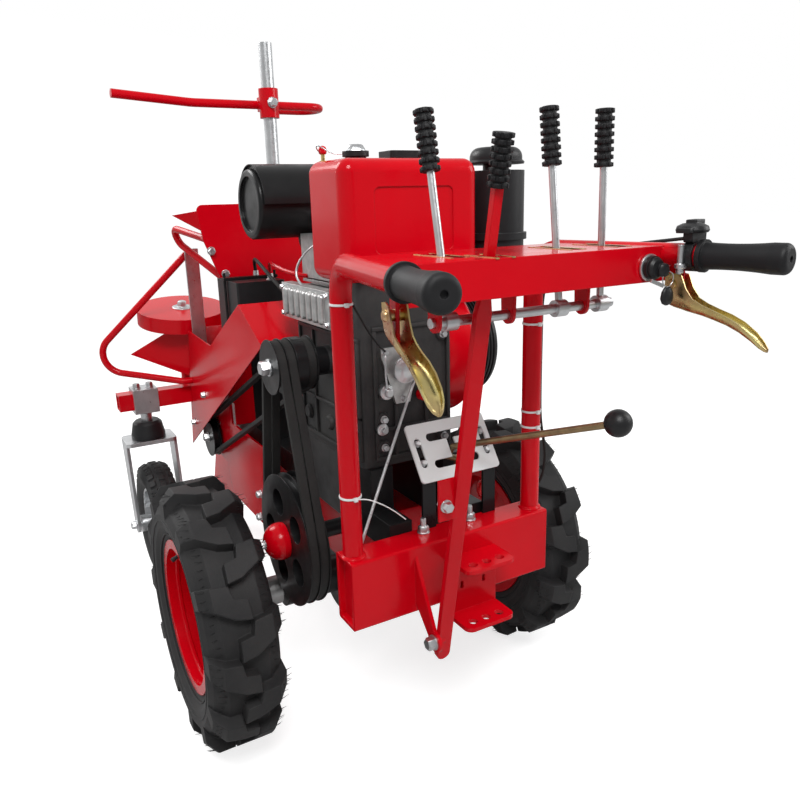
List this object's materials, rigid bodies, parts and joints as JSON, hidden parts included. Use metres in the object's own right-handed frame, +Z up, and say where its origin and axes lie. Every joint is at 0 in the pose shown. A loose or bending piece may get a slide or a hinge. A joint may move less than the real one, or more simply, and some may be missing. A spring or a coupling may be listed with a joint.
{
  "type": "hand push corn harvester",
  "caption": "Walk-behind single-row corn harvester with an engine on two lugged drive wheels, swivelling front casters, handlebar levers and a crop opening.",
  "frame": {"origin": "on the ground below the middle of the machine's length, on its centre line", "axes": "+X forward, +Y to the operator's left, +Z up"},
  "size_m": [1.872, 0.934, 1.543],
  "materials": {
    "red_paint": "gloss red enamel",
    "black_paint": "satin black enamel",
    "white_paint": "gloss white enamel",
    "black_plastic": "satin moulded plastic",
    "grip_rubber": "ribbed rubber",
    "tyre_rubber": "matt natural rubber tread",
    "belt_rubber": "matt rubber",
    "cast_dark": "dark grey casting enamel",
    "cast_alloy": "sand-cast grey",
    "zinc_steel": "galvanised",
    "gold_zinc": "yellow zinc plate",
    "dark_steel": "bare rolled bar"
  },
  "bodies": {
    "root": {"air_filter": "black_plastic", "backboard": "red_paint", "battery": "black_plastic", "battery_tray": "black_paint", "belts": "belt_rubber", "brake_levers": "gold_zinc", "caster_caps": "black_plastic", "caster_clamps": "zinc_steel", "clutch_lever": "red_paint", "control_levers": "zinc_steel", "control_panel": "red_paint", "cross_tube": "red_paint", "disc_covers": "red_paint", "dividers": "red_paint", "engine_covers": "cast_alloy", "engine_crankcase": "cast_dark", "engine_cylinder": "cast_alloy", "fan_shroud": "red_paint", "frame_rails": "black_paint", "fuel_tank": "red_paint", "gearbox_lower": "black_paint", "gearbox_upper": "red_paint", "grips": "grip_rubber", "guide_tubes": "red_paint", "guide_wings": "red_paint", "handle_tubes": "red_paint", "header_frame": "red_paint", "hitch_bracket": "red_paint", "muffler": "black_paint", "muffler_shield": "black_paint", "pole": "zinc_steel", "pulley_boss": "red_paint", "pulleys": "black_paint", "push_bar": "red_paint", "rear_beam": "red_paint", "recoil_starter": "black_plastic", "shift_gate": "white_paint", "shift_knob": "black_plastic", "shift_lever": "dark_steel", "side_guards": "red_paint", "struts": "zinc_steel", "switchgear": "black_plastic", "tank_caps": "black_plastic"},
    "wheel_left": {"tyre_left": "tyre_rubber", "rim_left": "red_paint", "axle_left": "dark_steel"},
    "wheel_right": {"tyre_right": "tyre_rubber", "rim_right": "red_paint", "axle_right": "dark_steel"},
    "caster_swivel_left": {"caster_fork_left": "zinc_steel"},
    "caster_swivel_right": {"caster_fork_right": "zinc_steel"},
    "caster_wheel_left": {"caster_tyre_left": "tyre_rubber", "caster_rim_left": "zinc_steel"},
    "caster_wheel_right": {"caster_tyre_right": "tyre_rubber", "caster_rim_right": "zinc_steel"}
  },
  "joints": [
    {"name": "wheel_left_spin", "type": "hinge", "parent": "root", "child": "wheel_left", "pos_m": [-0.124, 0.393, 0.285], "axis": [0, 1, 0], "continuous": true},
    {"name": "caster_left_swivel", "type": "hinge", "parent": "root", "child": "caster_swivel_left", "pos_m": [0.706, 0.337, 0.44], "axis": [0, 0, 1], "continuous": true},
    {"name": "caster_left_spin", "type": "hinge", "parent": "caster_swivel_left", "child": "caster_wheel_left", "pos_m": [0.661, 0.337, 0.185], "axis": [0, 1, 0], "continuous": true},
    {"name": "wheel_right_spin", "type": "hinge", "parent": "root", "child": "wheel_right", "pos_m": [-0.124, -0.393, 0.285], "axis": [0, 1, 0], "continuous": true},
    {"name": "caster_right_swivel", "type": "hinge", "parent": "root", "child": "caster_swivel_right", "pos_m": [0.706, -0.337, 0.44], "axis": [0, 0, 1], "continuous": true},
    {"name": "caster_right_spin", "type": "hinge", "parent": "caster_swivel_right", "child": "caster_wheel_right", "pos_m": [0.661, -0.337, 0.185], "axis": [0, 1, 0], "continuous": true}
  ]
}
